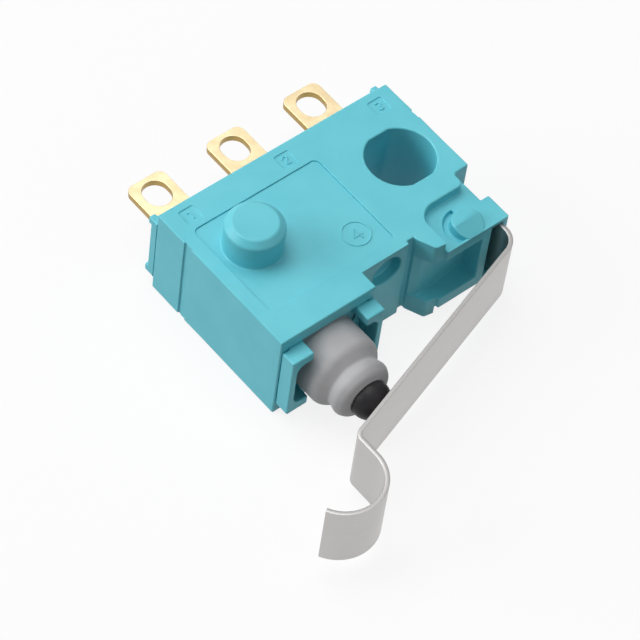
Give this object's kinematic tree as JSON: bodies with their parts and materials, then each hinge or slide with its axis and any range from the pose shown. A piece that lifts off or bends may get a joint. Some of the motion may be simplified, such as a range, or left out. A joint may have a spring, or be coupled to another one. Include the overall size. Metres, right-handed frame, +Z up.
{
  "type": "micro switch",
  "caption": "Sealed subminiature snap-action switch with a rubber-booted plunger, a hinged steel hook lever, a locating peg and solder terminals.",
  "frame": {"origin": "centre of the mounting hole, at the lower side face that the switch lies on", "axes": "+Z up through the thickness along the mounting hole, +Y from the plunger side to the terminals, +X along the case towards the lever hinge"},
  "size_m": [0.0188, 0.0231, 0.0076],
  "materials": {
    "turquoise_moulding": "satin",
    "grey_rubber": "matte",
    "black_plastic": "satin",
    "pale_plastic": "satin",
    "sealing_resin": "gloss",
    "stainless_lever": "satin",
    "spring_steel": "satin",
    "gilt_brass": "satin",
    "spring_copper": "satin",
    "contact_silver": "satin"
  },
  "bodies": {
    "housing": {"case": "turquoise_moulding", "lid": "turquoise_moulding", "front_frame": "turquoise_moulding", "guide_bush": "pale_plastic", "boot": "grey_rubber", "terminal_base": "turquoise_moulding", "resin_seal": "sealing_resin", "terminal_common": "gilt_brass", "terminal_no": "gilt_brass", "terminal_nc": "gilt_brass", "contact_no": "contact_silver", "contact_nc": "contact_silver", "plunger_spring": "spring_steel"},
    "lever_arm": {"lever": "stainless_lever"},
    "plunger": {"plunger_rod": "pale_plastic", "plunger_cap": "black_plastic"},
    "inner_pusher": {"pusher": "pale_plastic"},
    "blade": {"moving_blade": "spring_copper", "moving_contact": "contact_silver", "snap_spring": "spring_steel"}
  },
  "joints": [
    {"name": "lever_swing", "type": "hinge", "parent": "housing", "child": "lever_arm", "pos_m": [0.00145, -0.00426, 0.00288], "axis": [0, 0, -1], "range_deg": [0, 10], "stiffness_Nm_per_rad": 0.01},
    {"name": "plunger_press", "type": "slide", "parent": "housing", "child": "plunger", "axis": [0, 1, 0], "range_m": [0, 0.0021], "deforming": ["boot", "plunger_spring"]},
    {"name": "pusher_follow", "type": "slide", "parent": "housing", "child": "inner_pusher", "axis": [0, 1, 0], "range_m": [0, 0.0001]},
    {"name": "blade_rock", "type": "hinge", "parent": "housing", "child": "blade", "pos_m": [-0.01066, -0.00006, 0.00288], "axis": [0, 0, 1], "range_deg": [0, 4.2]}
  ],
  "couplings": [
    {"joint": "plunger_press", "follows": "lever_swing", "m_per_rad": 0.0118},
    {"joint": "pusher_follow", "follows": "lever_swing", "m_per_rad": 0.00053},
    {"joint": "blade_rock", "follows": "lever_swing", "ratio": 0.406}
  ]
}
